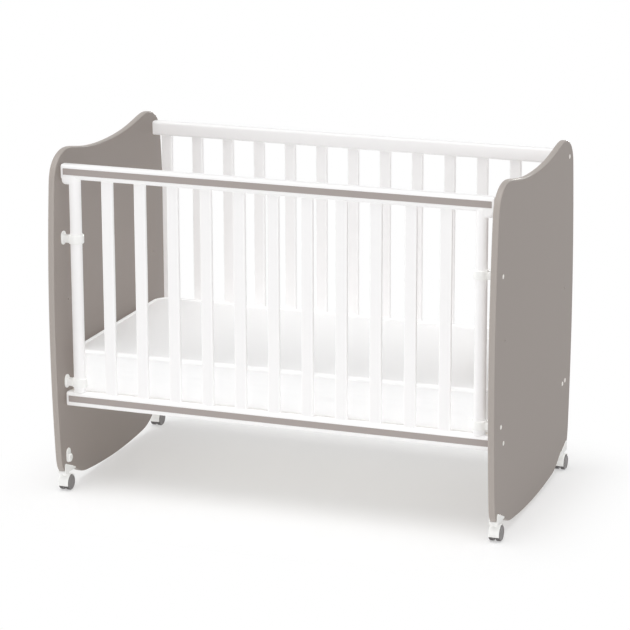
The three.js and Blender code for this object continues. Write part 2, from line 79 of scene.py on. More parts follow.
def linear(code):
    """The linear RGBA of an sRGB hex code: c / 12.92 where dark, else ((c + 0.055) / 1.055) to the 2.4."""
    parts = [int(code[i : i + 2], 16) / 255 for i in (1, 3, 5)]
    return [c / 12.92 if c <= 0.04045 else ((c + 0.055) / 1.055) ** 2.4 for c in parts] + [1.0]


def add(tree, kind, inputs, **settings):
    """A node of a kind with its settings; each input gets a value, or a link from the socket given for it."""
    node = tree.nodes.new(kind)
    for name, value in settings.items():
        setattr(node, name, value)
    for key, value in inputs.items():
        if isinstance(value, bpy.types.NodeSocket):
            tree.links.new(value, node.inputs[key])
        else:
            node.inputs[key].default_value = value
    return node


# A Mix node keeps its colours at these inputs and this output
COLOUR_A, COLOUR_B, COLOUR_OUT = 6, 7, 2


def new_material(name):
    """A material with no nodes yet, and its node tree."""
    mat = bpy.data.materials.new(name)
    mat.use_nodes = True
    mat.node_tree.nodes.clear()
    return mat, mat.node_tree


# Materials. A pixel of the render covers about 2.7 mm of the crib, so finer grain only softens a gleam.
# Lacquer, melamine, nylon and cotton all have about the same index of refraction.

COMMON_IOR = 1.5


def grained(name, code, roughness, swing, grain_mm, detail, darker, relief_mm):
    """A surface whose tone, roughness and height all follow one noise with cells grain_mm across.

    Where the noise is low the colour is darker by a share and the roughness less by swing. Where it is high
    the colour is full and the roughness more by swing, and relief_mm is the height between the two."""
    mat, tree = new_material(name)
    full = linear(code)
    dark = [c * (1 - darker) for c in full[:3]] + [1.0]
    place = add(tree, "ShaderNodeTexCoord", {}).outputs["Object"]
    scale = 1000 / grain_mm
    noise = add(tree, "ShaderNodeTexNoise", {"Vector": place, "Scale": scale, "Detail": detail}).outputs[0]
    tone = add(tree, "ShaderNodeMix", {"Factor": noise, COLOUR_A: dark, COLOUR_B: full}, data_type="RGBA")
    limits = {"To Min": roughness - swing, "To Max": roughness + swing}
    gleam = add(tree, "ShaderNodeMapRange", {"Value": noise, **limits})
    relief = add(tree, "ShaderNodeBump", {"Height": noise, "Strength": 1.0, "Distance": relief_mm / 1000})
    shader = add(tree, "ShaderNodeBsdfPrincipled", {
        "Base Color": tone.outputs[COLOUR_OUT],
        "Roughness": gleam.outputs[0],
        "Normal": relief.outputs[0],
        "IOR": COMMON_IOR,
    })
    add(tree, "ShaderNodeOutputMaterial", {"Surface": shader.outputs[0]})
    return mat


# A wave texture of scale 1 has this many waves to the metre
WAVES_PER_METRE = 20 / (2 * math.pi)
THREAD_WANDER = 0.4
SLUB_MM = 16.7
WEAVE_STRENGTH = 0.6


def woven(name, code, roughness, thread_mm, relief_mm):
    """A plain weave with threads thread_mm apart: two crossed sine waves multiplied, plus a slow noise."""
    mat, tree = new_material(name)
    place = add(tree, "ShaderNodeTexCoord", {}).outputs["Object"]
    scale = 1000 / thread_mm / WAVES_PER_METRE
    threads = {"Vector": place, "Scale": scale, "Distortion": THREAD_WANDER}
    warp = add(tree, "ShaderNodeTexWave", threads, bands_direction="X")
    weft = add(tree, "ShaderNodeTexWave", threads, bands_direction="Y")
    cloth = add(tree, "ShaderNodeMath", {0: warp.outputs[0], 1: weft.outputs[0]}, operation="MULTIPLY")
    slubs = add(tree, "ShaderNodeTexNoise", {"Vector": place, "Scale": 1000 / SLUB_MM, "Detail": 4.0})
    height = add(tree, "ShaderNodeMath", {0: cloth.outputs[0], 1: slubs.outputs[0]}, operation="ADD")
    bump = {"Height": height.outputs[0], "Strength": WEAVE_STRENGTH, "Distance": relief_mm / 1000}
    relief = add(tree, "ShaderNodeBump", bump)
    shader = add(tree, "ShaderNodeBsdfPrincipled", {
        "Base Color": linear(code),
        "Roughness": roughness,
        "Normal": relief.outputs[0],
        "IOR": COMMON_IOR,
    })
    add(tree, "ShaderNodeOutputMaterial", {"Surface": shader.outputs[0]})
    return mat


def white_lacquered_beech():
    """Beech under sprayed white lacquer: the film closes the grain and leaves a satin gleam on slow waves."""
    return grained(
        "white_lacquered_beech", "#F6F5F5", roughness=0.36, swing=0.05,
        grain_mm=25, detail=4, darker=0.02, relief_mm=0.04,
    )


def taupe_melamine(name, code, roughness):
    """Board faced with melamine paper pressed on a fine plate: matt, with an even, faintly mottled tone.

    The plate's grain of under 1 mm is drawn 2.4 mm wide, near the render's pixel, so that it shows."""
    return grained(name, code, roughness, swing=0.05, grain_mm=2.38, detail=3, darker=0.03, relief_mm=0.03)


def pale_hardboard():
    """Raw hardboard: dry and matt, shaded by clumps of fibre a few millimetres wide."""
    return grained(
        "pale_hardboard", "#E6E2DA", roughness=0.75, swing=0.05,
        grain_mm=6.25, detail=6, darker=0.1, relief_mm=0.1,
    )


def white_moulded_nylon():
    """White nylon from an eroded steel mould: a clean tone, its gleam broken a little on the round edges.

    The mould's grain of about 0.2 mm is drawn 1.1 mm wide, as coarse as parts this small can carry."""
    return grained(
        "white_moulded_nylon", "#F0F0EE", roughness=0.42, swing=0.04,
        grain_mm=1.11, detail=2, darker=0.01, relief_mm=0.03,
    )


def pale_screw_cap():
    """A pressed-in nylon cap from a polished mould: smoother and a little yellower than the white lacquer.

    Its grain is drawn 1.4 mm wide, as coarse as a cap of 12 mm can carry."""
    return grained(
        "pale_nylon_screw_cap", "#EDE9E5", roughness=0.35, swing=0.04,
        grain_mm=1.43, detail=2, darker=0.02, relief_mm=0.02,
    )


def grey_moulded_nylon():
    """Grey nylon of the wheels' discs, with pigment that clouds it slightly and a dull satin face.

    Its grain is drawn 1.4 mm wide, as coarse as a wheel of 43 mm can carry."""
    return grained(
        "grey_moulded_nylon", "#858282", roughness=0.5, swing=0.05,
        grain_mm=1.43, detail=3, darker=0.06, relief_mm=0.04,
    )


def dark_grey_tread():
    """The wheels' softer tread: darker, duller and more uneven than the discs, as it runs on the floor."""
    return grained(
        "dark_grey_tread", "#625F5F", roughness=0.6, swing=0.05,
        grain_mm=1.11, detail=3, darker=0.08, relief_mm=0.05,
    )


def white_cotton(name, code, roughness, thread_mm):
    """Bleached woven cotton: fully matt and soft to the eye.

    The photograph shows no threads, so they stay at their real spacing and only soften the light."""
    return woven(name, code, roughness, thread_mm, relief_mm=0.2)


LOOKS = {
    "white_wood": white_lacquered_beech(),
    "taupe_board": taupe_melamine("taupe_melamine_board", "#968D87", 0.55),
    # The boards' rims get a paler copy of the face colour, a painted highlight for the light their rounding
    # catches; it is also a shade smoother
    "taupe_rim_highlight": taupe_melamine("taupe_rim_painted_highlight", "#A69E98", 0.5),
    "taupe_inlay": taupe_melamine("taupe_laminate_strip", "#A49B97", 0.5),
    "base_board": pale_hardboard(),
    "white_plastic": white_moulded_nylon(),
    "screw_cap": pale_screw_cap(),
    "grey_wheel": grey_moulded_nylon(),
    "grey_tread": dark_grey_tread(),
    # The piping is a tighter, smoother weave than the cover
    "cover": white_cotton("white_cotton_cover", "#F4F4F4", 0.85, 0.628),
    "piping": white_cotton("white_cotton_piping", "#FBFBFB", 0.8, 0.349),
}

SMOOTH_BELOW = math.radians(40)
WELD_DISTANCE = 0.00001


def smoothing_group():
    """A modifier that joins split corners and shades smooth all edges gentler than SMOOTH_BELOW."""
    group = bpy.data.node_groups.new("smooth_by_angle", "GeometryNodeTree")
    group.interface.new_socket("Geometry", in_out="INPUT", socket_type="NodeSocketGeometry")
    group.interface.new_socket("Geometry", in_out="OUTPUT", socket_type="NodeSocketGeometry")
    start = add(group, "NodeGroupInput", {})
    weld = add(group, "GeometryNodeMergeByDistance", {0: start.outputs[0], "Distance": WELD_DISTANCE})
    angle = add(group, "GeometryNodeInputMeshEdgeAngle", {})
    gentle = add(group, "FunctionNodeCompare", {0: angle.outputs[0], 1: SMOOTH_BELOW}, operation="LESS_THAN")
    faces = add(group, "GeometryNodeSetShadeSmooth", {0: weld.outputs[0]})
    edges = add(
        group, "GeometryNodeSetShadeSmooth",
        {0: faces.outputs[0], "Shade Smooth": gentle.outputs[0]}, domain="EDGE",
    )
    add(group, "NodeGroupOutput", {0: edges.outputs[0]})
    return group


SMOOTH = smoothing_group()
for entry in frame["record"]["subparts"]:
    node = NODES[entry["node"]]
    node.data.materials.clear()
    node.data.materials.append(LOOKS[entry["material_slot"]])
    node.modifiers.new("smooth", "NODES").node_group = SMOOTH


# Mesh helpers. A part is its points and a list of index arrays, each of faces with equally many corners.


def new_object(name, part):
    """A mesh object at the origin from one part."""
    points, faces = part
    mesh = bpy.data.meshes.new(name)
    mesh.from_pydata(points.tolist(), [], [face for some in faces for face in some.tolist()])
    obj = bpy.data.objects.new(name, mesh)
    SCENE.collection.objects.link(obj)
    return obj


def joined(parts):
    """Several parts as one: their points in turn, and each part's faces counted on from its first point."""
    starts = np.cumsum([0] + [len(points) for points, _ in parts])
    faces = [some + start for start, (_, theirs) in zip(starts, parts) for some in theirs]
    return np.vstack([points for points, _ in parts]), faces


def mesh_piece(name, parts, look, body, *replaced):
    """A finished piece from parts, riding on a body and standing for CAD nodes."""
    obj = new_object(name, joined(parts))
    obj.data.validate()
    obj.data.materials.append(LOOKS[look])
    obj.modifiers.new("smooth", "NODES").node_group = SMOOTH
    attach(obj, body)
    if replaced:
        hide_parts(*replaced)
    return obj


def turned(points, axis):
    """Points of (u, v, w) with w along the named axis, and u and v along the two that follow it."""
    u, v, w = points.T
    return np.column_stack({"x": (w, u, v), "y": (v, w, u), "z": (u, v, w)}[axis])


def moved(part, offset, mirror=False):
    """A part shifted by an offset, after a mirror in X where asked, which also turns its faces round."""
    points, faces = part
    if mirror:
        return points * (-1, 1, 1) + offset, [some[:, ::-1] for some in faces]
    return points + offset, faces


def unit(vectors):
    """Each row at length 1."""
    return vectors / np.linalg.norm(vectors, axis=1, keepdims=True)


def fillet(corners, closed=True, steps=6):
    """A line through corners of (u, v, radius), each rounded by an arc of its own radius.

    The arc's centre lies on the corner's bisector, radius / sin(angle / 2) away, and its points turn evenly
    about it from one side to the other. A corner of radius 0 and the ends of an open line stay sharp."""
    corners = np.array(corners, float)
    here, radius = corners[:, :2], corners[:, 2:]
    if not closed:
        radius[[0, -1]] = 0
    back = unit(np.roll(here, 1, axis=0) - here)
    ahead = unit(np.roll(here, -1, axis=0) - here)
    angle = np.arccos(np.clip((back * ahead).sum(1, keepdims=True), -1, 1))
    centre = here + unit(back + ahead) * radius / np.sin(angle / 2)
    first = here + back * radius / np.tan(angle / 2) - centre
    last = here + ahead * radius / np.tan(angle / 2) - centre
    total = (math.pi - angle)[:, None]
    share = np.linspace(0, 1, steps + 1)[None, :, None]
    arcs = np.sin((1 - share) * total) * first[:, None] + np.sin(share * total) * last[:, None]
    points = centre[:, None] + arcs / np.sin(total)
    drawn = (radius > 0) | (np.arange(steps + 1) == 0)
    return points[drawn]


def rectangle(width, height, radius, centre=(0, 0), steps=6):
    """A rectangle with rounded corners round a centre."""
    x, y = width / 2, height / 2
    corners = [(x, -y, radius), (x, y, radius), (-x, y, radius), (-x, -y, radius)]
    return fillet(corners, steps=steps) + np.asarray(centre)


def circle(radius, count):
    """Points in equal turns round a circle, anticlockwise."""
    turn = np.linspace(0, 2 * math.pi, count, endpoint=False)
    return radius * np.column_stack([np.cos(turn), np.sin(turn)])


LEAST_MITRE = 0.4


def inward(outline):
    """The step at each point of a closed anticlockwise outline that moves both its sides inwards by 1.

    It runs along the mean of the two sides' normals, and its length is 1 / the cosine between that mean and
    either normal, with LEAST_MITRE as the least cosine, so that a sharp corner doesn't shoot past."""
    normals = unit((np.roll(outline, -1, axis=0) - outline) @ np.array([(0, 1), (-1, 0)]))
    before = np.roll(normals, 1, axis=0)
    middle = unit(before + normals)
    cosine = (middle * before).sum(1, keepdims=True)
    return middle / np.maximum(cosine, LEAST_MITRE)


def quads(count, size, wrap=False):
    """Faces between count rings of size points, closed on themselves; wrap joins the last ring to the first.

    Face (r, i) takes points i and i + 1 of ring r, then the same two of ring r + 1 backwards."""
    ring = np.arange(count if wrap else count - 1)[:, None] * size
    over = (ring + size) % (count * size)
    here = np.arange(size)
    after = np.roll(here, -1)
    return np.stack([ring + here, ring + after, over + after, over + here], axis=-1).reshape(-1, 4)


def stacked(rings, heights):
    """The points of flat rings of equal size, each lifted to its height."""
    levels = np.broadcast_to(np.reshape(heights, (-1, 1, 1)), (*rings.shape[:2], 1))
    return np.concatenate([rings, levels], axis=2).reshape(-1, 3)


def capped(points, faces, size, low, high):
    """Stacked rings of size points, closed by a fan from the first to a low point and one to a high point."""
    here = np.arange(size)
    after = np.roll(here, -1)
    count = len(points)
    top = count - size
    first = np.column_stack([np.full(size, count), after, here])
    last = np.column_stack([np.full(size, count + 1), top + here, top + after])
    return np.vstack([points, low, high]), [*faces, first, last]


def flat_triangles(loops):
    """Anticlockwise triangles over the loops' points that fill the first loop but for the holes in it."""
    outlines = [[*map(Vector, stacked(loop[None], 0))] for loop in loops]
    triangles = np.array(tessellate_polygon(outlines))
    corners = np.vstack(loops)[triangles]
    a, b = corners[:, 1] - corners[:, 0], corners[:, 2] - corners[:, 0]
    backwards = a[:, 0] * b[:, 1] < a[:, 1] * b[:, 0]
    triangles[backwards] = triangles[backwards, ::-1]
    return triangles


RIM_MARGIN = 0.0003
HOLE_FACETS = 24


def board(outline, low, high, edge, axis, steps=5, holes=()):
    """An outline extruded from low to high along an axis, its rims rounded by edge, with round holes in it.

    The profile carried along the outline is a quarter circle at each end: at angle a it lies edge (1 - cos a)
    inside the outline and edge (1 - sin a) short of the end. Holes are (u, v, radius), and the flat ends are
    filled with triangles between the rim and the holes."""
    outline = np.asarray(outline, float)
    x, y = outline.T
    if (x * np.roll(y, -1) - y * np.roll(x, -1)).sum() < 0:
        outline = outline[::-1]
    angles = np.linspace(0, math.pi / 2, steps + 1) if edge else np.zeros(1)
    shrink, short = edge * (1 - np.cos(angles)), edge * (1 - np.sin(angles))
    flat = [edge + RIM_MARGIN]
    shrink = np.concatenate([flat, shrink[::-1], shrink, flat])
    levels = np.concatenate([[low], low + short[::-1], high - short, [high]])
    rims = outline + inward(outline) * shrink[:, None, None]
    walls = [(stacked(rims, levels), [quads(len(levels), len(outline))])]
    loops = [rims[0]]
    for u, v, radius in holes:
        loops.append(circle(radius, HOLE_FACETS) + (u, v))
        rings = np.stack([loops[-1], loops[-1]])
        walls.append((stacked(rings, (low, high)), [quads(2, HOLE_FACETS)[:, ::-1]]))
    points, faces = joined(walls)
    index = np.split(np.arange(len(points)), np.cumsum([len(some) for some, _ in walls])[:-1])
    low_end = np.concatenate([some[: len(loop)] for some, loop in zip(index, loops)])
    high_end = np.concatenate([some[-len(loop) :] for some, loop in zip(index, loops)])
    triangles = flat_triangles(loops)
    return turned(points, axis), [*faces, high_end[triangles], low_end[triangles][:, ::-1]]


def lathe(profile, axis, centre=(0, 0, 0), count=48):
    """A profile of (radius, height) turned round an axis, drawn upwards on its outside.

    Point (i, k) is the k-th of count equal turns at the i-th radius and height. A profile that ends where it
    started makes a ring; any other has both ends on the axis, and each is closed by a fan."""
    profile = np.asarray(profile, float)
    ring = np.array_equal(profile[0], profile[-1])
    radii, heights = (profile[:-1] if ring else profile[1:-1]).T
    points = stacked(circle(1, count) * radii[:, None, None], heights)
    faces = [quads(len(radii), count, ring)]
    if not ring:
        points, faces = capped(points, faces, count, (0, 0, profile[0, 1]), (0, 0, profile[-1, 1]))
    return turned(points, axis) + centre, faces


def rod(radius, low, high, axis, count, chamfer=0):
    """A round rod between two heights along an axis, its upper end chamfered where asked."""
    shoulder = [(radius, high - chamfer), (radius - chamfer, high)] if chamfer else [(radius, high)]
    return lathe([(0, low), (radius, low), *shoulder, (0, high)], axis, count=count)


def cut(obj, part):
    """Takes a closed part out of a piece, and shades it smooth by angle again."""
    obj.modifiers.clear()
    tool = new_object("tool", part)
    step = obj.modifiers.new("cut", "BOOLEAN")
    step.operation = "DIFFERENCE"
    step.solver = "EXACT"
    step.object = tool
    made = obj.evaluated_get(bpy.context.evaluated_depsgraph_get())
    obj.data = bpy.data.meshes.new_from_object(made)
    obj.modifiers.clear()
    bpy.data.objects.remove(tool)
    obj.modifiers.new("smooth", "NODES").node_group = SMOOTH


# Driving sizes, in metres, as in the part

MATTRESS_LENGTH = 1.2
MATTRESS_DEPTH = 0.6
MATTRESS_HEIGHT = 0.121
MATTRESS_END_GAP = 0.010
MATTRESS_SIDE_GAP = 0.0085
MATTRESS_CORNER = 0.046
PANEL_THICKNESS = 0.018
PANEL_OVERHANG = 0.0795
PANEL_ABOVE_RAIL = 0.0335
RAIL_HEIGHT = 0.040
RAIL_DEPTH = 0.028
TOP_RAIL_TOP = 0.922
LOW_RAIL_BOTTOM = 0.247
SLAT_WIDTH = 0.033
SLAT_THICKNESS = 0.013
TENON = 0.0147
BAY_COUNT = 12
POLE_RADIUS = 0.016
POLE_INSET = 0.040
HEAD_DROP = 0.015
DECK_TOP = 0.282
DECK_THICKNESS = 0.006
DECK_SIDE_GAP = 0.003
BATTEN_WIDTH = 0.018
BATTEN_HEIGHT = 0.030
RAISED_BOLT_HEIGHT = 0.538
BOLT_HOLE_RADIUS = 0.0035
DROP_TRAVEL = 0.135
LIFT_TRAVEL = 0.012
STOP_CLEARANCE = 0.002
COLLAR_HEIGHT = 0.026
STOP_RADIUS = 0.012
FOOT_HEIGHT = 0.060
STEM_INSET = 0.062
FACE_GAP = 0.0003

# Places that follow from them

PANEL_INNER = MATTRESS_LENGTH / 2 + MATTRESS_END_GAP
PANEL_OUTER = PANEL_INNER + PANEL_THICKNESS
PANEL_X = PANEL_INNER + PANEL_THICKNESS / 2
PANEL_HALF = MATTRESS_DEPTH / 2 + PANEL_OVERHANG
PANEL_TOP = TOP_RAIL_TOP + PANEL_ABOVE_RAIL
STEM_Y = PANEL_HALF - STEM_INSET
LINE = MATTRESS_DEPTH / 2 + MATTRESS_SIDE_GAP + SLAT_THICKNESS / 2
TOP_RAIL_BOTTOM = TOP_RAIL_TOP - RAIL_HEIGHT
LOW_RAIL_TOP = LOW_RAIL_BOTTOM + RAIL_HEIGHT
RAIL_CENTRES = {"top": TOP_RAIL_TOP - RAIL_HEIGHT / 2, "bottom": LOW_RAIL_BOTTOM + RAIL_HEIGHT / 2}
SLAT_FOOT = LOW_RAIL_TOP - TENON
SLAT_HEAD = TOP_RAIL_BOTTOM + TENON
POLE_X = PANEL_INNER - POLE_INSET
SLAT_PITCH = 2 * POLE_X / BAY_COUNT
COLLAR_HEIGHTS = {
    "upper": TOP_RAIL_BOTTOM - HEAD_DROP - DROP_TRAVEL - STOP_CLEARANCE - COLLAR_HEIGHT / 2,
    "lower": LOW_RAIL_TOP + LIFT_TRAVEL + STOP_CLEARANCE + COLLAR_HEIGHT / 2,
}
STOP_HEIGHT = LOW_RAIL_BOTTOM - DROP_TRAVEL - STOP_CLEARANCE - STOP_RADIUS
BATTEN_Y = LINE - RAIL_DEPTH / 2 - DECK_SIDE_GAP - BATTEN_WIDTH / 2
BATTEN_Z = DECK_TOP - DECK_THICKNESS - BATTEN_HEIGHT / 2
HANDS = (("left", -1), ("right", 1))
ENDS = (("front", -1), ("back", 1))


# Side panels

PANEL_DIP = 0.028
SHOULDER_DROP = 0.0765
PANEL_EDGE_RADIUS = 0.0045
ROCKER_RADIUS = 1.9
ROCKER_CLEARANCE = 0.0105
ROCKER_STEPS = 13
FOOT_OUTER = PANEL_HALF - 0.046
FOOT_INNER = FOOT_OUTER - 0.048
FOOT_CORNER_RISE = 0.068
ROCKER_HALF = FOOT_INNER - 0.094

# Control points of one half of the outline, as shares of the half depth and of the height each stretch spans.
# The ramp's are shares of the way from the foot to the rocker in both.
TOP_EDGE = ((0.43, 0), (0.565, 1), (0.7, 1))
SHOULDER = ((0.81, 0), (0.934, 0.28), (0.947, 1))
FLANK = ((1.0155, 0.333), (1.0155, 0.667), (0.958, 1))
FOOT_CORNER = ((0.951, 0.44), (0.942, 1))
RAMP = ((0.234, 0.39), (0.521, 0.903))


def bezier(start, controls, steps=22):
    """A cubic curve after its start: at t its four points count (1-t)^3, 3(1-t)^2 t, 3(1-t) t^2 and t^3."""
    a, b, c, d = np.vstack([start, controls])
    t = np.linspace(0, 1, steps + 1)[1:, None]
    return (1 - t) ** 3 * a + 3 * (1 - t) ** 2 * t * b + 3 * (1 - t) * t**2 * c + t**3 * d


def stretch(shares, start, end):
    """Control points in Y and Z from shares of the half depth and of the way from one height to another."""
    return np.array(shares) * (PANEL_HALF, end - start) + (0, start)


def panel_outline():
    """The board's outline in Y and Z, half of it drawn and then mirrored.

    Cubic curves make the dip, the shoulder, the bowed flank, the foot's corner and the ramp, and an arc of
    ROCKER_RADIUS makes the rocker."""
    dip = PANEL_TOP - PANEL_DIP
    flank_top = PANEL_TOP - SHOULDER_DROP
    flank_low = FOOT_HEIGHT + FOOT_CORNER_RISE
    foot_outer, foot_inner = np.array([(FOOT_OUTER, FOOT_HEIGHT), (FOOT_INNER, FOOT_HEIGHT)])
    rocker_end = (ROCKER_HALF, ROCKER_CLEARANCE + ROCKER_HALF**2 / (2 * ROCKER_RADIUS))
    corner = stretch(FOOT_CORNER, flank_low, FOOT_HEIGHT)
    ramp = foot_inner + np.array(RAMP) * (rocker_end - foot_inner)
    half = [np.array([(0, dip)])]
    for controls in (
        stretch(TOP_EDGE, dip, PANEL_TOP), stretch(SHOULDER, PANEL_TOP, flank_top),
        stretch(FLANK, flank_top, flank_low), np.vstack([corner, foot_outer]),
    ):
        half.append(bezier(half[-1][-1], controls))
    half += [foot_inner[None], bezier(foot_inner, np.vstack([ramp, rocker_end]))]
    sweep = math.asin(ROCKER_HALF / ROCKER_RADIUS)
    centre = rocker_end[1] + ROCKER_RADIUS * math.cos(sweep)
    turn = np.linspace(sweep, 0, ROCKER_STEPS + 1)[1:]
    half.append(np.column_stack([ROCKER_RADIUS * np.sin(turn), centre - ROCKER_RADIUS * np.cos(turn)]))
    half = np.vstack(half)
    return np.vstack([half, half[-2:0:-1] * (-1, 1)])


# Screw caps on the panels' outer faces, at their places in Y and Z: collars, back rails and battens
CAP_RADIUS = 0.0062
CAP_SINK = 0.0006
CAP_HEIGHT = 0.0011
CAP_DISH = 0.0002
CAP_SHOULDER = 0.0008
CAP_PLACES = (
    (-LINE, 0.715), (-LINE, 0.312),
    (LINE, 0.903), (LINE, 0.264), (-BATTEN_Y, BATTEN_Z), (BATTEN_Y, BATTEN_Z),
)
SADDLE_SCREW_RADIUS = 0.0030
SADDLE_SCREW_RISE = 0.012
SADDLE_CHEEK_OUT = 0.0026
CAP_FACETS = 28
# Panel faces whose normal has less than this along X lie on the rounded rims and take the paler taupe, a
# painted highlight
FACE_NORMAL = 0.9


def screw_cap(radius):
    """A low domed cap with a dished middle, its rim just inside the board, turned round +X."""
    profile = [
        (0, -CAP_SINK), (radius, -CAP_SINK), (radius, CAP_DISH), (0.95 * radius, CAP_SHOULDER),
        (0.8 * radius, CAP_HEIGHT), (0.55 * radius, CAP_HEIGHT), (0.52 * radius, CAP_DISH), (0, CAP_DISH),
    ]
    return lathe(profile, "x", count=CAP_FACETS)


def make_panels():
    """The two boards with the raised base's bolt holes, rims painted a paler taupe as a highlight, and screw
    caps on their outer faces.
    """
    outline = panel_outline()
    holes = [(y, RAISED_BOLT_HEIGHT, BOLT_HOLE_RADIUS) for y in (-BATTEN_Y, BATTEN_Y)]
    cap, saddle_screw = screw_cap(CAP_RADIUS), screw_cap(SADDLE_SCREW_RADIUS)
    for hand, sign in HANDS:
        low, high = sorted((sign * PANEL_INNER, sign * PANEL_OUTER))
        part = board(outline, low, high, PANEL_EDGE_RADIUS, "x", steps=6, holes=holes)
        panel = mesh_piece(f"{hand}_board", [part], "taupe_board", "frame", f"side_panel_{hand}")
        # The rounded rims take the paler taupe: a painted highlight for the light they catch
        panel.data.materials.append(LOOKS["taupe_rim_highlight"])
        normals = np.empty(3 * len(panel.data.polygons))
        panel.data.polygons.foreach_get("normal", normals)
        on_edge = np.abs(normals[::3]) < FACE_NORMAL
        panel.data.polygons.foreach_set("material_index", on_edge.astype(np.int32))
        caps = [moved(cap, (sign * PANEL_OUTER, y, z), sign < 0) for y, z in CAP_PLACES]
        x, z = sign * (PANEL_OUTER + SADDLE_CHEEK_OUT), FOOT_HEIGHT + SADDLE_SCREW_RISE
        caps += [moved(saddle_screw, (x, end_sign * STEM_Y, z), sign < 0) for _, end_sign in ENDS]
        mesh_piece(f"{hand}_bolt_heads", caps, "screw_cap", "frame")


make_panels()


# Rails, slats and inlay strips

RAIL_EDGE_RADIUS = 0.007
BACK_RAIL_END_RADIUS = 0.001
FRONT_RAIL_END_RADIUS = 0.002
FRONT_RAIL_HALF = PANEL_INNER - 0.005
SLAT_EDGE_RADIUS = 0.004
INLAY_WIDTH = 0.018
INLAY_LENGTH = 2 * (FRONT_RAIL_HALF - 0.006)
INLAY_RISE = 0.0011
INLAY_CORNER = 0.0006
GROOVE_DEPTH = 0.003
STRIP_GAP = 0.0003
STRIP_SINK = 0.0001
STRIP_EDGE = 0.0005
CUTTER_PAST = 0.01


def make_rails():
    """Four rails with rounded edges, the front two grooved for their inlay strips."""
    for level, z in RAIL_CENTRES.items():
        section = rectangle(RAIL_DEPTH, RAIL_HEIGHT, RAIL_EDGE_RADIUS, (LINE, z))
        part = board(section, -PANEL_INNER, PANEL_INNER, BACK_RAIL_END_RADIUS, "x", steps=3)
        mesh_piece(f"back_rail_{level}", [part], "white_wood", "frame", f"back_{level}_rail")
        section = rectangle(RAIL_DEPTH, RAIL_HEIGHT, RAIL_EDGE_RADIUS, (-LINE, z))
        part = board(section, -FRONT_RAIL_HALF, FRONT_RAIL_HALF, FRONT_RAIL_END_RADIUS, "x", steps=4)
        rail = mesh_piece(f"front_rail_{level}", [part], "white_wood", "drop_side", f"front_{level}_rail")
        face = -LINE - RAIL_DEPTH / 2
        middle = (z + INLAY_RISE, 0)
        groove = rectangle(INLAY_WIDTH, INLAY_LENGTH, INLAY_CORNER, middle, steps=2)
        cut(rail, board(groove, face - CUTTER_PAST, face + GROOVE_DEPTH, 0, "y"))
        width, length = INLAY_WIDTH - 2 * STRIP_GAP, INLAY_LENGTH - 2 * STRIP_GAP
        strip = rectangle(width, length, INLAY_CORNER, middle, steps=2)
        part = board(strip, face + STRIP_SINK, face + GROOVE_DEPTH - STRIP_SINK, STRIP_EDGE, "y", steps=3)
        mesh_piece(f"inlay_{level}", [part], "taupe_inlay", "drop_side", f"{level}_rail_inlay")


def make_slats():
    """The upright slats with rounded edges, a pitch apart; at the front the poles take the two end places."""
    rows = (("back", LINE, "frame", 0, BAY_COUNT + 1), ("front", -LINE, "drop_side", 1, BAY_COUNT - 1))
    for side, y, body, first, count in rows:
        for i in range(count):
            middle = ((i + first) * SLAT_PITCH - POLE_X, y)
            section = rectangle(SLAT_WIDTH, SLAT_THICKNESS, SLAT_EDGE_RADIUS, middle, steps=7)
            part = board(section, SLAT_FOOT, SLAT_HEAD, 0, "z")
            number = f"{i + 1:02d}"
            mesh_piece(f"{side}_upright_{number}", [part], "white_wood", body, f"{side}_slat_{number}")


make_rails()
make_slats()


# Guide poles with their elbow heads

SPIGOT_RADIUS = POLE_RADIUS - 0.006
POLE_CHAMFER = 0.0005
POLE_CHAMFER_RISE = 0.0006
POLE_IN_HEAD = 0.008
HEAD_IN_RAIL = 0.012
HEAD_REACH = 0.0348
HEAD_SHORT_REACH = 0.0045
HEAD_HALF_DEPTH = 0.0139
HEAD_BEND = 0.012
HEAD_TOE = 0.002
HEAD_EDGE = 0.0075


def make_poles():
    """Each pole, turned from one rod, with the moulded elbow that fills the corner under the rail.

    The elbow's corners are (Z, X, rounding) from the foot of the rail on the pole's axis."""
    top = TOP_RAIL_BOTTOM + POLE_IN_HEAD
    shaft = [
        (0, SLAT_FOOT), (SPIGOT_RADIUS, SLAT_FOOT), (SPIGOT_RADIUS, LOW_RAIL_TOP - FACE_GAP),
        (POLE_RADIUS - POLE_CHAMFER, LOW_RAIL_TOP), (POLE_RADIUS, LOW_RAIL_TOP + POLE_CHAMFER_RISE),
        (POLE_RADIUS, top), (0, top),
    ]
    corners = [
        (HEAD_IN_RAIL, HEAD_SHORT_REACH, 0), (HEAD_IN_RAIL, -HEAD_REACH, HEAD_TOE),
        (-HEAD_DROP, -HEAD_REACH, HEAD_BEND), (-HEAD_DROP, HEAD_SHORT_REACH, 0),
    ]
    head = board(fillet(corners, steps=12), -HEAD_HALF_DEPTH, HEAD_HALF_DEPTH, HEAD_EDGE, "y", steps=8)
    for hand, sign in HANDS:
        parts = [
            lathe(shaft, "z", (sign * POLE_X, -LINE, 0), count=64),
            moved(head, (sign * POLE_X, -LINE, TOP_RAIL_BOTTOM), sign > 0),
        ]
        mesh_piece(f"guide_pole_{hand}", parts, "white_wood", "drop_side", f"pole_{hand}")


make_poles()


# Collars and stops: moulded rings, necks and oval flanges

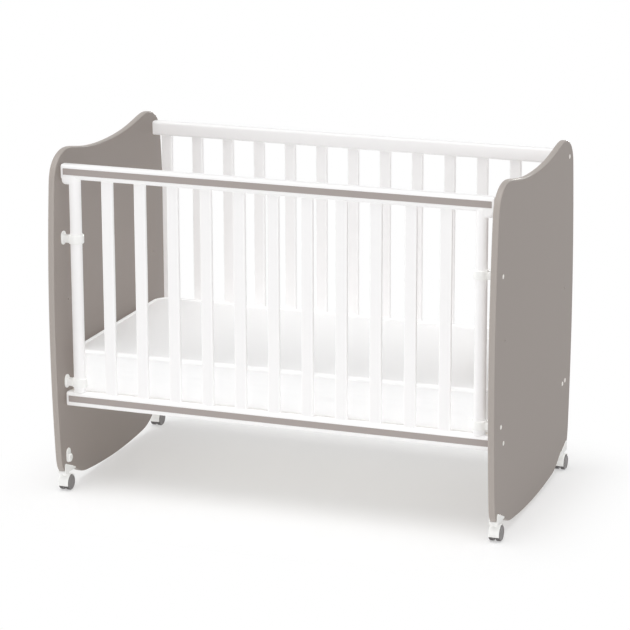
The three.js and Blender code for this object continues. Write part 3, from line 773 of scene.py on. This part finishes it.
COLLAR_BORE = POLE_RADIUS + 0.0005
COLLAR_OUTER = COLLAR_BORE + 0.0045
COLLAR_HALF = 0.0125
COLLAR_RIM = 0.0034
COLLAR_BORE_RIM = 0.0006
NECK_WIDTH = 0.020
NECK_HEIGHT = 0.0205
NECK_START = -0.0375
NECK_END = -0.0187
NECK_DROP = 0.0015
NECK_CORNER = 0.004
FLANGE_WIDTH = 0.027
FLANGE_HEIGHT = 0.038
FLANGE_CORNER = 0.0134
FLANGE_FRONT = -0.036
FLANGE_EDGE = 0.0014
FAIR_WIDTH = 0.023
FAIR_HEIGHT = 0.024
FAIR_CORNER = 0.005
FAIR_DROP = 0.001
FAIR_START = -0.0368
FAIR_END = -0.0345
FAIR_EDGE = 0.0012
STOP_PLATE = 0.0034
STOP_PLATE_WIDTH = 0.024
STOP_PLATE_HEIGHT = 0.041
STOP_PLATE_CORNER = 0.0119
STOP_PLATE_RISE = 0.007
STOP_BOSS_FOOT = 0.002
STOP_BOSS_SIDE = 0.003
STOP_BOSS_TOP = 0.0095
STOP_BOSS_EDGE = 0.003
STOP_SHIFT = 0.003


def collar_parts():
    """A collar on its pole's axis: the ring, a neck towards -X, its oval flange and the fairing there."""
    corners = [
        (COLLAR_BORE, -COLLAR_HALF, COLLAR_BORE_RIM), (COLLAR_OUTER, -COLLAR_HALF, COLLAR_RIM),
        (COLLAR_OUTER, COLLAR_HALF, COLLAR_RIM), (COLLAR_BORE, COLLAR_HALF, COLLAR_BORE_RIM),
    ]
    line = fillet(corners)
    neck = rectangle(NECK_WIDTH, NECK_HEIGHT, NECK_CORNER, (0, -NECK_DROP))
    oval = rectangle(FLANGE_WIDTH, FLANGE_HEIGHT, FLANGE_CORNER, steps=14)
    fairing = rectangle(FAIR_WIDTH, FAIR_HEIGHT, FAIR_CORNER, (0, -FAIR_DROP))
    return [
        lathe(np.vstack([line, line[:1]]), "z", count=64),
        board(neck, NECK_START, NECK_END, 0, "x"),
        board(oval, -POLE_INSET, FLANGE_FRONT, FLANGE_EDGE, "x", steps=5),
        board(fairing, FAIR_START, FAIR_END, FAIR_EDGE, "x", steps=4),
    ]


def stop_parts():
    """A drop stop against the panel at -X: an oval plate and a round boss with a rounded rim."""
    middle = (0, STOP_PLATE_RISE)
    plate = rectangle(STOP_PLATE_WIDTH, STOP_PLATE_HEIGHT, STOP_PLATE_CORNER, middle, steps=14)
    side = fillet([
        (STOP_RADIUS, STOP_BOSS_SIDE, 0), (STOP_RADIUS, STOP_BOSS_TOP, STOP_BOSS_EDGE), (0, STOP_BOSS_TOP, 0),
    ], closed=False, steps=8)
    boss = np.vstack([[(0, STOP_BOSS_FOOT), (STOP_RADIUS, STOP_BOSS_FOOT)], side])
    return [board(plate, 0, STOP_PLATE, FLANGE_EDGE, "x", steps=5), lathe(boss, "x", count=56)]


def make_collars():
    """Two collars and a stop on each panel, drawn for the left one and mirrored for the right."""
    collar, stop = collar_parts(), stop_parts()
    for hand, sign in HANDS:
        for level, z in COLLAR_HEIGHTS.items():
            parts = [moved(part, (sign * POLE_X, -LINE, z), sign > 0) for part in collar]
            mesh_piece(f"{level}_guide_{hand}", parts, "white_plastic", "frame", f"{level}_collar_{hand}")
        place = (sign * PANEL_INNER, -LINE - STOP_SHIFT, STOP_HEIGHT - STOP_SHIFT)
        parts = [moved(part, place, sign > 0) for part in stop]
        mesh_piece(f"drop_buffer_{hand}", parts, "white_plastic", "frame", f"drop_stop_{hand}")


make_collars()


# Mattress base

BATTEN_EDGE_RADIUS = 0.002
BATTEN_END_RADIUS = 0.0008


def make_battens():
    """The two battens under the deck, with softened long edges."""
    for end, sign in ENDS:
        middle = (sign * BATTEN_Y, BATTEN_Z)
        section = rectangle(BATTEN_WIDTH, BATTEN_HEIGHT, BATTEN_EDGE_RADIUS, middle, steps=3)
        part = board(section, -PANEL_INNER, PANEL_INNER, BATTEN_END_RADIUS, "x", steps=2)
        mesh_piece(f"{end}_ledge", [part], "white_wood", "frame", f"{end}_base_batten")


make_battens()


# Castors about their own stem: hood, fork and wheels from the floor up, and the clasp from the foot's
# underside, with +Y towards the panel's edge

WHEEL_RADIUS = 0.0215
WHEEL_WIDTH = 0.014
WHEEL_START = 0.0023
CASTOR_TRAIL = 0.006
AXLE = np.array((0, CASTOR_TRAIL, WHEEL_RADIUS))
AXLE_RADIUS = 0.003
AXLE_HALF = 0.013
HUB_RADIUS = 0.0085
HUB_HALF = 0.002
HOOD_INNER = WHEEL_RADIUS + 0.0015
HOOD_OUTER = HOOD_INNER + 0.002
HOOD_HALF_WIDTH = 0.0146
HOOD_EDGE = 0.0009
HOOD_REAR, HOOD_FRONT = math.radians(20), math.radians(194)
HOOD_FACETS = 48
WEB_RADIUS = 0.0238
NECK_RADIUS = 0.008
NECK_FOOT, NECK_TOP = 0.0235, 0.0497
NECK_CHAMFER = 0.0015
STEM_RADIUS = 0.004
STEM_FOOT, STEM_TOP = 0.045, 0.0757
STEM_CHAMFER = 0.001

CLASP_PLATE = 0.008
CLASP_REACH = 0.024
CLASP_INNER = 0.032
CLASP_TOE = CLASP_INNER + 0.009
CLASP_TOE_TOP = 0.004
CLASP_RISE = 0.021
CLASP_SHOULDER = 0.017
CHEEK_INNER = PANEL_THICKNESS / 2 + FACE_GAP
CHEEK_OUTER = CHEEK_INNER + 0.0025
CHEEK_EDGE = 0.0007
PLATE_EDGE = 0.0008
PLATE_CORNER = 0.002
PLATE_SIDE_GAP = 0.0005
PLATE_END_GAP = 0.0002
BOSS_RADIUS = 0.010
BOSS_HEIGHT = 0.002
BOSS_IN_PLATE = 0.004


def clasp_parts():
    """The clasp: a cheek on each face of the foot, a plate under it, and the round boss that holds the stem.

    The cheek's corners are (Y, Z, rounding)."""
    cheek = fillet([
        (-CLASP_TOE, -CLASP_PLATE, 0.001), (CLASP_REACH, -CLASP_PLATE, 0.002),
        (CLASP_REACH, CLASP_RISE, 0.006), (CLASP_SHOULDER, CLASP_RISE, 0.003),
        (-CLASP_TOE, -CLASP_TOE_TOP, 0.001),
    ])
    width = 2 * (CHEEK_OUTER - PLATE_SIDE_GAP)
    depth = CLASP_REACH + CLASP_INNER - 2 * PLATE_END_GAP
    plate = rectangle(width, depth, PLATE_CORNER, (0, (CLASP_REACH - CLASP_INNER) / 2), steps=5)
    boss = [
        (0, -BOSS_HEIGHT), (0.88 * BOSS_RADIUS, -BOSS_HEIGHT), (0.98 * BOSS_RADIUS, -0.6 * BOSS_HEIGHT),
        (BOSS_RADIUS, 0), (BOSS_RADIUS, BOSS_IN_PLATE), (0, BOSS_IN_PLATE),
    ]
    return [
        board(cheek, -CHEEK_OUTER, -CHEEK_INNER, CHEEK_EDGE, "x", steps=4),
        board(cheek, CHEEK_INNER, CHEEK_OUTER, CHEEK_EDGE, "x", steps=4),
        board(plate, FACE_GAP - CLASP_PLATE, 0, PLATE_EDGE, "z", steps=4),
        lathe(boss, "z", (0, 0, -CLASP_PLATE), count=40),
    ]


def hood_parts():
    """The mudguard, an arc of a tube over both wheels, and the web between them that joins it to the hub."""
    turn = np.linspace(HOOD_REAR, HOOD_FRONT, HOOD_FACETS + 1)
    arc = np.column_stack([np.cos(turn), np.sin(turn)])
    guard = np.vstack([HOOD_OUTER * arc, HOOD_INNER * arc[::-1]])
    web = np.vstack([[(0, 0)], WEB_RADIUS * arc])
    return [
        moved(board(guard, -HOOD_HALF_WIDTH, HOOD_HALF_WIDTH, HOOD_EDGE, "x", steps=5), AXLE),
        moved(board(web, -HUB_HALF, HUB_HALF, 0, "x"), AXLE),
    ]


def fork_parts():
    """What turns with the hood: its neck, the stem in the panel's foot, the hub and the axle pin."""
    return [
        rod(NECK_RADIUS, NECK_FOOT, NECK_TOP, "z", count=40, chamfer=NECK_CHAMFER),
        rod(STEM_RADIUS, STEM_FOOT, STEM_TOP, "z", count=28, chamfer=STEM_CHAMFER),
        moved(rod(HUB_RADIUS, -HUB_HALF, HUB_HALF, "x", count=40), AXLE),
        moved(rod(AXLE_RADIUS, -AXLE_HALF, AXLE_HALF, "x", count=24), AXLE),
    ]


DISC_RADIUS = WHEEL_RADIUS - 0.001
DISC_EDGE = 0.0015
BORE_RADIUS = AXLE_RADIUS + 0.0004
BORE_DEPTH = 0.011
RIM_RADIUS, DISH_RADIUS = 0.0178, 0.0168
DISH_LEVEL = WHEEL_WIDTH - 0.0014
CAP_FOOT_RADIUS, CAP_TOP_RADIUS = 0.0070, 0.0062
CAP_LEVEL = WHEEL_WIDTH - 0.0006
TREAD_MIDDLE = WHEEL_WIDTH / 2


def wheel_disc():
    """A wheel's disc, turned round +X from the bore over the rim and the dish to the cap.

    Its corners are (radius, X, rounding)."""
    rim = fillet([
        (BORE_RADIUS, 0, 0), (DISC_RADIUS - DISC_EDGE, 0, 0.001), (DISC_RADIUS, DISC_EDGE, 0.0006),
        (DISC_RADIUS, WHEEL_WIDTH - DISC_EDGE, 0.0006), (DISC_RADIUS - DISC_EDGE, WHEEL_WIDTH, 0.0012),
        (RIM_RADIUS, WHEEL_WIDTH, 0.0006), (DISH_RADIUS, DISH_LEVEL, 0.0008),
        (CAP_FOOT_RADIUS, DISH_LEVEL, 0.0005), (CAP_TOP_RADIUS, CAP_LEVEL, 0.0005), (0, CAP_LEVEL, 0),
    ], closed=False, steps=4)
    return lathe(np.vstack([[(0, BORE_DEPTH), (BORE_RADIUS, BORE_DEPTH)], rim]), "x", count=72)


def wheel_tread():
    """The tread, a ring with a rounded crown over both edges of the disc.

    Its half is drawn as (radius, half width, rounding)."""
    half = [(0.0200, 0.0052, 0), (0.0208, 0.0056, 0.0006), (WHEEL_RADIUS, 0.0040, 0.0012)]
    corners = [(r, TREAD_MIDDLE - w, bend) for r, w, bend in half]
    corners += [(r, TREAD_MIDDLE + w, bend) for r, w, bend in half[::-1]]
    band = fillet(corners, closed=False, steps=4)
    return lathe(np.vstack([band, band[:1]]), "x", count=72)


def make_castors():
    """Four castors: the clasp on the foot, the swivelling hood with its fork, and twin wheels with treads."""
    clasp, hood, fork = clasp_parts(), hood_parts(), fork_parts()
    disc, tread = wheel_disc(), wheel_tread()
    for end, y_sign in ENDS:
        for hand, x_sign in HANDS:
            corner = np.array((x_sign * PANEL_X, y_sign * STEM_Y, 0))
            foot = corner + (0, 0, FOOT_HEIGHT)
            # Half a turn about the stem where the panel's edge lies towards -Y
            parts = [(points * (y_sign, y_sign, 1) + foot, faces) for points, faces in clasp]
            mesh_piece(f"clasp_{end}_{hand}", parts, "white_plastic", "frame", f"castor_saddle_{end}_{hand}")
            body = f"castor_fork_{end}_{hand}"
            parts = [moved(part, corner) for part in hood]
            mesh_piece(f"mudguard_{end}_{hand}", parts, "white_plastic", body, f"castor_hood_{end}_{hand}")
            parts = [moved(part, corner) for part in fork]
            mesh_piece(f"fork_core_{end}_{hand}", parts, "white_plastic", body)
            for side, sign in (("a", -1), ("b", 1)):
                place = corner + AXLE + (sign * WHEEL_START, 0, 0)
                wheel = f"castor_wheel_{end}_{hand}_{side}"
                part = moved(disc, place, sign < 0)
                mesh_piece(f"disc_{end}_{hand}_{side}", [part], "grey_wheel", wheel, wheel)
                part = moved(tread, place, sign < 0)
                mesh_piece(f"tread_{end}_{hand}_{side}", [part], "grey_tread", wheel)


make_castors()


# Mattress

MATTRESS_BOTTOM = DECK_TOP + FACE_GAP
MATTRESS_TOP = MATTRESS_BOTTOM + MATTRESS_HEIGHT
SEAM_INSET = 0.0085
SEAM_HEIGHT = 0.3975
SEAM_HALF = 0.0015
PIPING_RADIUS = 0.006
PIPING_FACETS = 16

# Steps along the short and the long sides, and round each corner
COVER_STEPS = ((24, 48), 10)
PIPING_STEPS = ((40, 80), 16)

# How the cover is blown up: the voxel of its mesh, the pressure, its stiffness, and the most a point moves
VOXEL = 0.006
PRESSURE = 4.0
STIFFNESS = 25
QUALITY = 5
FRAMES = 20
MOST_MOVE = 0.005
SEAM_REACH = 0.9 * VOXEL
REST_REACH = 1.5 * VOXEL


def rounded_path(x, y, radius, side_steps, corner_steps):
    """A rounded rectangle of half sizes x and y in plan: four quarter circles from the corner (+X, -Y) on.

    Each is followed by a straight side in equal steps, along Y and X in turn."""
    centres = np.array([(1, -1), (1, 1), (-1, 1), (-1, -1)]) * (x - radius, y - radius)
    turn = (np.arange(4)[:, None] - 1 + np.linspace(0, 1, corner_steps + 1)) * math.pi / 2
    bends = centres[:, None] + radius * np.stack([np.cos(turn), np.sin(turn)], axis=-1)
    path = []
    for bend, following, steps in zip(bends, np.roll(bends, -1, axis=0), side_steps * 2):
        path += [bend, np.linspace(bend[-1], following[0], steps + 1)[1:-1]]
    return np.vstack(path)


def mattress_shell():
    """The cover before it is blown up: a profile of (inset, height) carried round a rounded rectangle.

    It rises from the flat underside over a tight lower edge and a slightly drawn-in side to the seam under
    the piping, and from there over the top edge to the flat top; fans close the underside and the top."""
    x, y = MATTRESS_LENGTH / 2, MATTRESS_DEPTH / 2
    low, high = MATTRESS_BOTTOM, MATTRESS_TOP
    profile = [
        (0.030, low), (0.010, low), (0.0055, low + 0.0008), (0.0040, low + 0.004), (0.0040, low + 0.012),
        (0.0060, low + 0.03), (0.0072, high - 0.035), (0.0075, high - 0.012),
        (SEAM_INSET, SEAM_HEIGHT - SEAM_HALF), (SEAM_INSET + 0.001, SEAM_HEIGHT + SEAM_HALF),
        (0.016, high - 0.0008), (0.030, high),
    ]
    rings = np.stack([rounded_path(x - d, y - d, MATTRESS_CORNER - d, *COVER_STEPS) for d, _ in profile])
    points = stacked(rings, [height for _, height in profile])
    size = rings.shape[1]
    return capped(points, [quads(len(rings), size)], size, (0, 0, low), (0, 0, high))


def seam_distance(points):
    """How far each point lies from the seam, a rounded rectangle at one height.

    In plan that is the distance past the centre of the corner's circle, less its radius, or, short of that
    centre both ways, the nearer side's; the height above or below the seam is at right angles to it."""
    radius = MATTRESS_CORNER - SEAM_INSET
    corner = np.array((MATTRESS_LENGTH, MATTRESS_DEPTH)) / 2 - SEAM_INSET - radius
    past = np.abs(points[:, :2]) - corner
    in_plan = np.linalg.norm(np.maximum(past, 0), axis=1) + np.minimum(past.max(1), 0) - radius
    return np.hypot(in_plan, points[:, 2] - SEAM_HEIGHT)


def point_array(mesh):
    """A mesh's points as one array."""
    points = np.empty(len(mesh.vertices) * 3)
    mesh.vertices.foreach_get("co", points)
    return points.reshape(-1, 3)


def inflate(obj):
    """Blows the piece up as cloth held at its seam and where it rests.

    A point that the cloth would take a distance d goes MOST_MOVE tanh(d / MOST_MOVE) the same way."""
    for other in bpy.context.selected_objects:
        other.select_set(False)
    bpy.context.view_layer.objects.active = obj
    obj.select_set(True)
    obj.data.remesh_voxel_size = VOXEL
    bpy.ops.object.voxel_remesh()
    start = point_array(obj.data)
    fixed = (seam_distance(start) < SEAM_REACH) | (start[:, 2] < MATTRESS_BOTTOM + REST_REACH)
    held = obj.vertex_groups.new(name="held")
    held.add(np.flatnonzero(fixed).tolist(), 1.0, "REPLACE")
    cloth = obj.modifiers.new("cloth", "CLOTH")
    cloth.settings.use_pressure = True
    cloth.settings.uniform_pressure_force = PRESSURE
    cloth.settings.effector_weights.gravity = 0
    cloth.settings.vertex_group_mass = held.name
    cloth.settings.tension_stiffness = STIFFNESS
    cloth.settings.compression_stiffness = STIFFNESS
    cloth.settings.quality = QUALITY
    cloth.collision_settings.use_collision = False
    cloth.point_cache.frame_start = 1
    cloth.point_cache.frame_end = FRAMES
    for step in range(1, FRAMES + 1):
        SCENE.frame_set(step)
    move = point_array(obj.evaluated_get(bpy.context.evaluated_depsgraph_get()).data) - start
    obj.modifiers.remove(cloth)
    obj.vertex_groups.remove(held)
    far = np.linalg.norm(move, axis=1, keepdims=True)
    move *= MOST_MOVE * np.tanh(far / MOST_MOVE) / np.maximum(far, 1e-9)
    obj.data.vertices.foreach_set("co", (start + move).reshape(-1))
    obj.data.update()
    SCENE.frame_set(1)


def piping():
    """A sewn cord round the top edge: its path plus radius times cos a outwards and sin a upwards."""
    x, y = MATTRESS_LENGTH / 2 - PIPING_RADIUS, MATTRESS_DEPTH / 2 - PIPING_RADIUS
    path = rounded_path(x, y, MATTRESS_CORNER - PIPING_RADIUS, *PIPING_STEPS)
    ahead = np.roll(path, -1, axis=0) - np.roll(path, 1, axis=0)
    outward = unit(ahead @ np.array([(0, -1), (1, 0)]))
    section = circle(PIPING_RADIUS, PIPING_FACETS)
    rings = path + outward * section[:, :1, None]
    points = stacked(rings, MATTRESS_TOP - PIPING_RADIUS + section[:, 1])
    return points, [quads(PIPING_FACETS, len(path), wrap=True)]


def make_mattress():
    """The foam mattress in its cover, blown up from its start form, with piping round its top edge."""
    cover = mesh_piece("mattress_cover", [mattress_shell()], "cover", "frame", "mattress")
    cover.modifiers.clear()
    inflate(cover)
    cover.data.polygons.foreach_set("use_smooth", [True] * len(cover.data.polygons))
    mesh_piece("mattress_piping", [piping()], "piping", "frame")


make_mattress()


# Floor, light and background

FLOOR_HALF = 12.0
WHITE = (1, 1, 1, 1)

# Half sizes of the floor that shows the crib's shadow, how far round it that fades, and the white left in it
SHADOW_CORE = (0.56, 0.30, 0)
SHADOW_FADE = 0.36
SHADOW_WHITE = 0.28

# The key in watts to the square metre, each fill as the brightness that it gives a white face turned to it,
# their angular widths in degrees, and the even light of the world
KEY = 1.46
KEY_WIDTH = 48
KEY_FROM = (-0.06, -0.28, 1)
FILL_WIDTH = 5
FILLS = {
    "right": (0.16, (1, 0, 0)),
    "left": (0.26, (-1, 0, 0)),
    "front": (0.24, (0, -1, 0)),
    "back": (0.26, (0, 1, 0)),
    "top": (0.16, (0, 0, 1)),
}
WORLD = 0.35


def floor_share(tree):
    """How much of the floor shows as plain white: SHADOW_WHITE under the crib, rising smoothly to all of it.

    The rise follows the distance outside a rectangle, the length of |x| and |y| past its half sizes."""
    place = add(tree, "ShaderNodeTexCoord", {})
    one_side = add(tree, "ShaderNodeVectorMath", {0: place.outputs["Object"]}, operation="ABSOLUTE")
    beyond = add(tree, "ShaderNodeVectorMath", {0: one_side.outputs[0], 1: SHADOW_CORE}, operation="SUBTRACT")
    outside = add(tree, "ShaderNodeVectorMath", {0: beyond.outputs[0]}, operation="MAXIMUM")
    away = add(tree, "ShaderNodeVectorMath", {0: outside.outputs[0]}, operation="LENGTH")
    rise = {"Value": away.outputs["Value"], "From Max": SHADOW_FADE, "To Min": SHADOW_WHITE, "To Max": 1.0}
    return add(tree, "ShaderNodeMapRange", rise, interpolation_type="SMOOTHSTEP").outputs[0]


def seen_mask(tree):
    """1 for rays from the camera, in reflections and through glass, and 0 for the rest."""
    rays = add(tree, "ShaderNodeLightPath", {}).outputs
    either = {0: rays["Is Camera Ray"], 1: rays["Is Glossy Ray"]}
    some = add(tree, "ShaderNodeMath", either, operation="MAXIMUM")
    every = {0: some.outputs[0], 1: rays["Is Transmission Ray"]}
    return add(tree, "ShaderNodeMath", every, operation="MAXIMUM").outputs[0]


def studio_floor():
    """Pale painted floor: matt where it carries the shadow, and plain white to the eye away from it."""
    mat, tree = new_material("studio_floor")
    paint = add(tree, "ShaderNodeBsdfPrincipled", {"Base Color": linear("#FCFCFC"), "Roughness": 0.9})
    white = add(tree, "ShaderNodeEmission", {"Color": WHITE, "Strength": 1.0})
    shown = {0: seen_mask(tree), 1: floor_share(tree)}
    seen = add(tree, "ShaderNodeMath", shown, operation="MULTIPLY")
    mix = add(tree, "ShaderNodeMixShader", {0: seen.outputs[0], 1: paint.outputs[0], 2: white.outputs[0]})
    add(tree, "ShaderNodeOutputMaterial", {"Surface": mix.outputs[0]})
    return mat


def sun(name, energy, width, source, shadow):
    """A sun that shines from a direction."""
    data = bpy.data.lights.new(name, "SUN")
    data.energy = energy
    data.angle = math.radians(width)
    data.use_shadow = shadow
    obj = bpy.data.objects.new(name, data)
    SCENE.collection.objects.link(obj)
    obj.matrix_world = Vector(source).to_track_quat("Z", "Y").to_matrix().to_4x4()


def make_stage():
    """A floor that keeps the shadow, a soft key, shadowless fills and an even white surround."""
    corners = FLOOR_HALF * np.array([(-1, -1, 0), (1, -1, 0), (1, 1, 0), (-1, 1, 0)])
    floor = new_object("floor", (corners, [np.arange(4)[None]]))
    floor.data.materials.append(studio_floor())
    sun("key", KEY, KEY_WIDTH, KEY_FROM, True)
    for name, (share, source) in FILLS.items():
        sun(f"fill_{name}", share * math.pi, FILL_WIDTH, source, False)
    world = bpy.data.worlds.new("studio")
    world.use_nodes = True
    tree = world.node_tree
    tree.nodes.clear()
    light = add(tree, "ShaderNodeBackground", {"Color": WHITE, "Strength": WORLD})
    seen = add(tree, "ShaderNodeBackground", {"Color": WHITE, "Strength": 1.0})
    mix = add(tree, "ShaderNodeMixShader", {0: seen_mask(tree), 1: light.outputs[0], 2: seen.outputs[0]})
    add(tree, "ShaderNodeOutputWorld", {"Surface": mix.outputs[0]})
    SCENE.world = world
    SCENE.view_settings.view_transform = "Standard"


make_stage()
